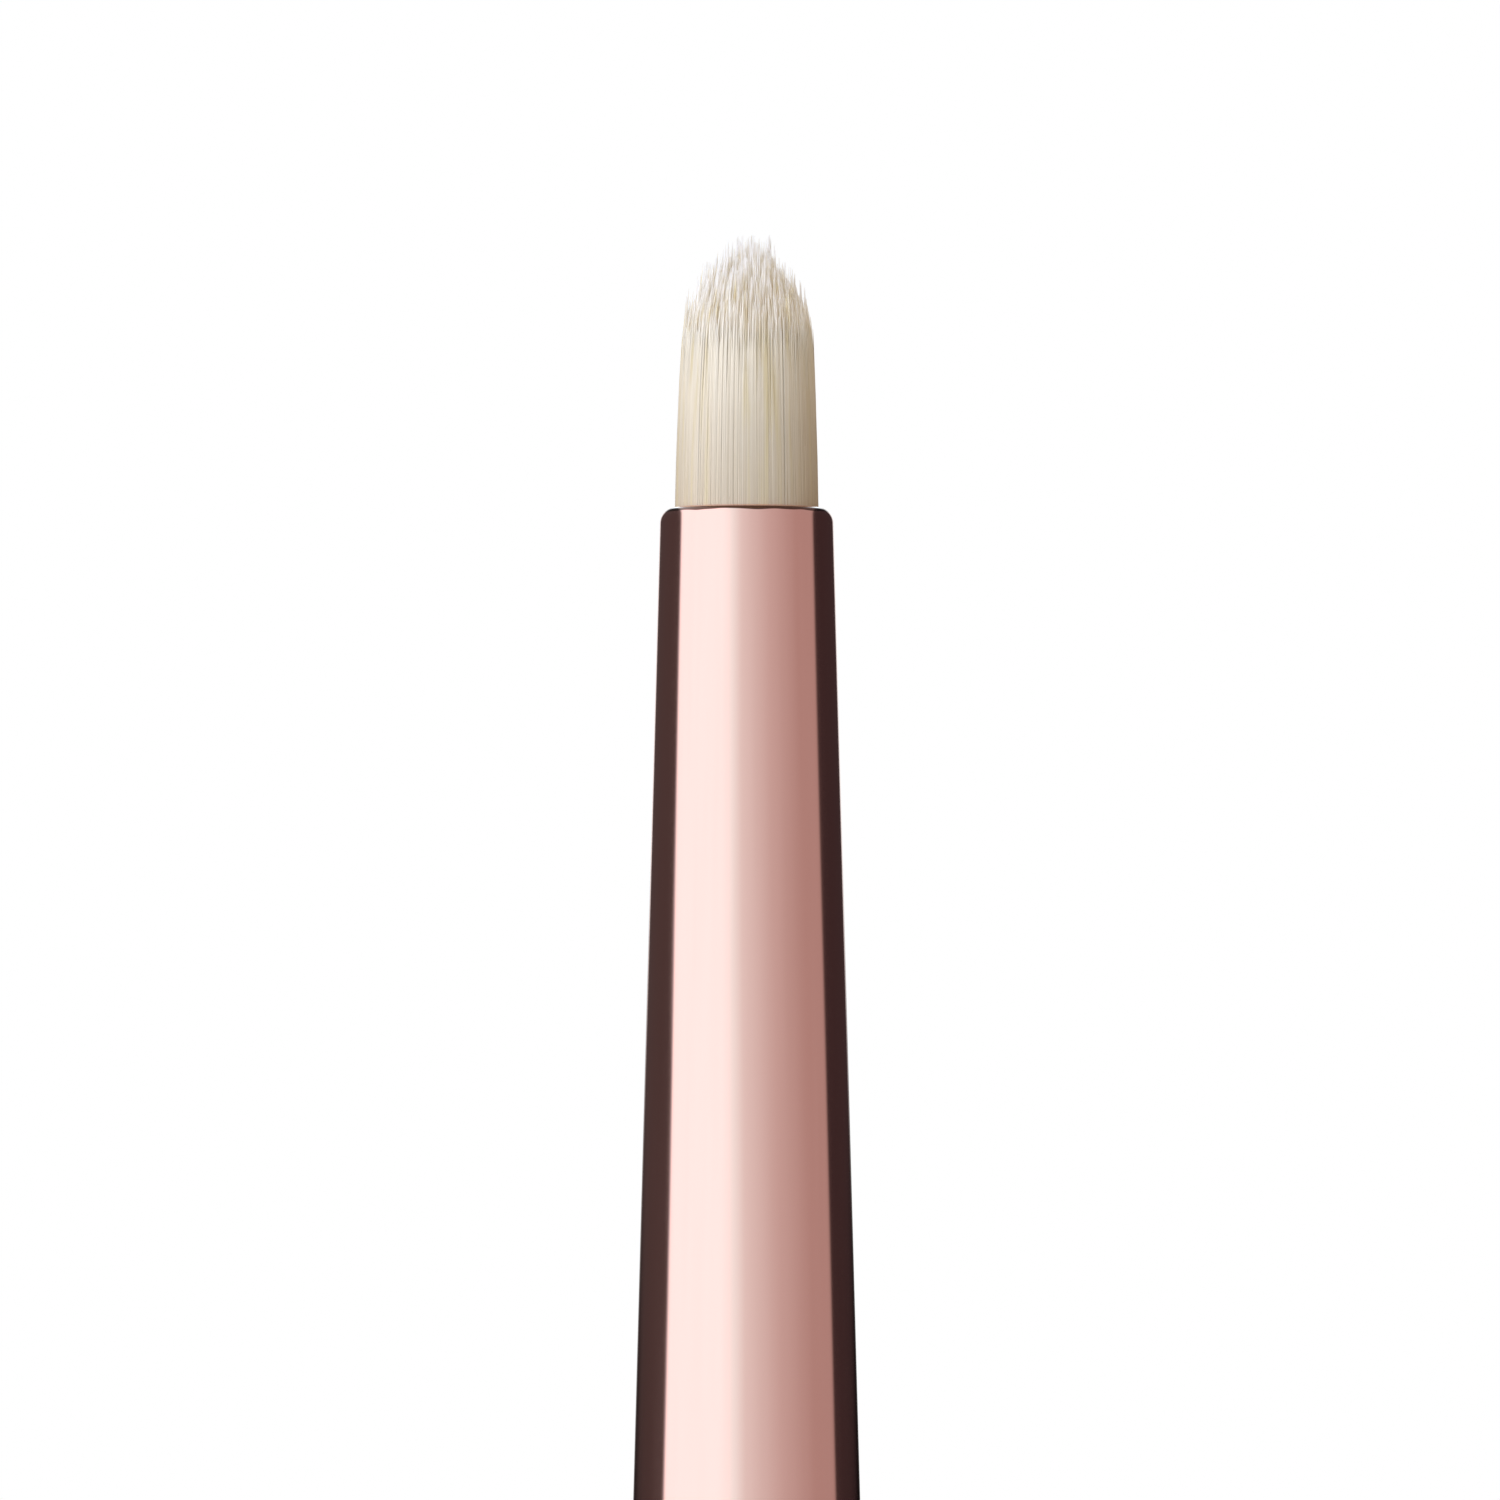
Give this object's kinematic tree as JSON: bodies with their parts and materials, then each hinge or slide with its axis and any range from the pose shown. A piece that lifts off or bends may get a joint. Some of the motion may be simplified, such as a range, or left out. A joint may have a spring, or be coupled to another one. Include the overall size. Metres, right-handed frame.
{
  "type": "eyeliner brush",
  "caption": "Slim make-up brush with a bullet-tipped filament tuft in a long tapered metal ferrule, crimped on a turned lacquered handle, for drawing and smudging eyeliner.",
  "frame": {"origin": "centre of the small flat on the tail end of the handle", "axes": "+Z along the brush from its tail to its tip; X and Y are alike, because the brush is turned about Z"},
  "size_m": [0.0094, 0.0094, 0.1652],
  "materials": {
    "filament": "soft satin synthetic filaments, cream",
    "thread": "plain white thread",
    "resin": "cured amber resin",
    "plated_metal": "polished, rose-gold plated",
    "adhesive": "cured pale glue",
    "lacquered_wood": "dark brown-black gloss lacquer"
  },
  "bodies": {
    "root": {"tuft_core": "filament", "tuft_inner_layer": "filament", "tuft_middle_layer": "filament", "tuft_outer_layer": "filament", "root_binding": "thread", "root_resin": "resin", "ferrule": "plated_metal", "tenon_adhesive": "adhesive", "handle": "lacquered_wood"}
  },
  "joints": []
}
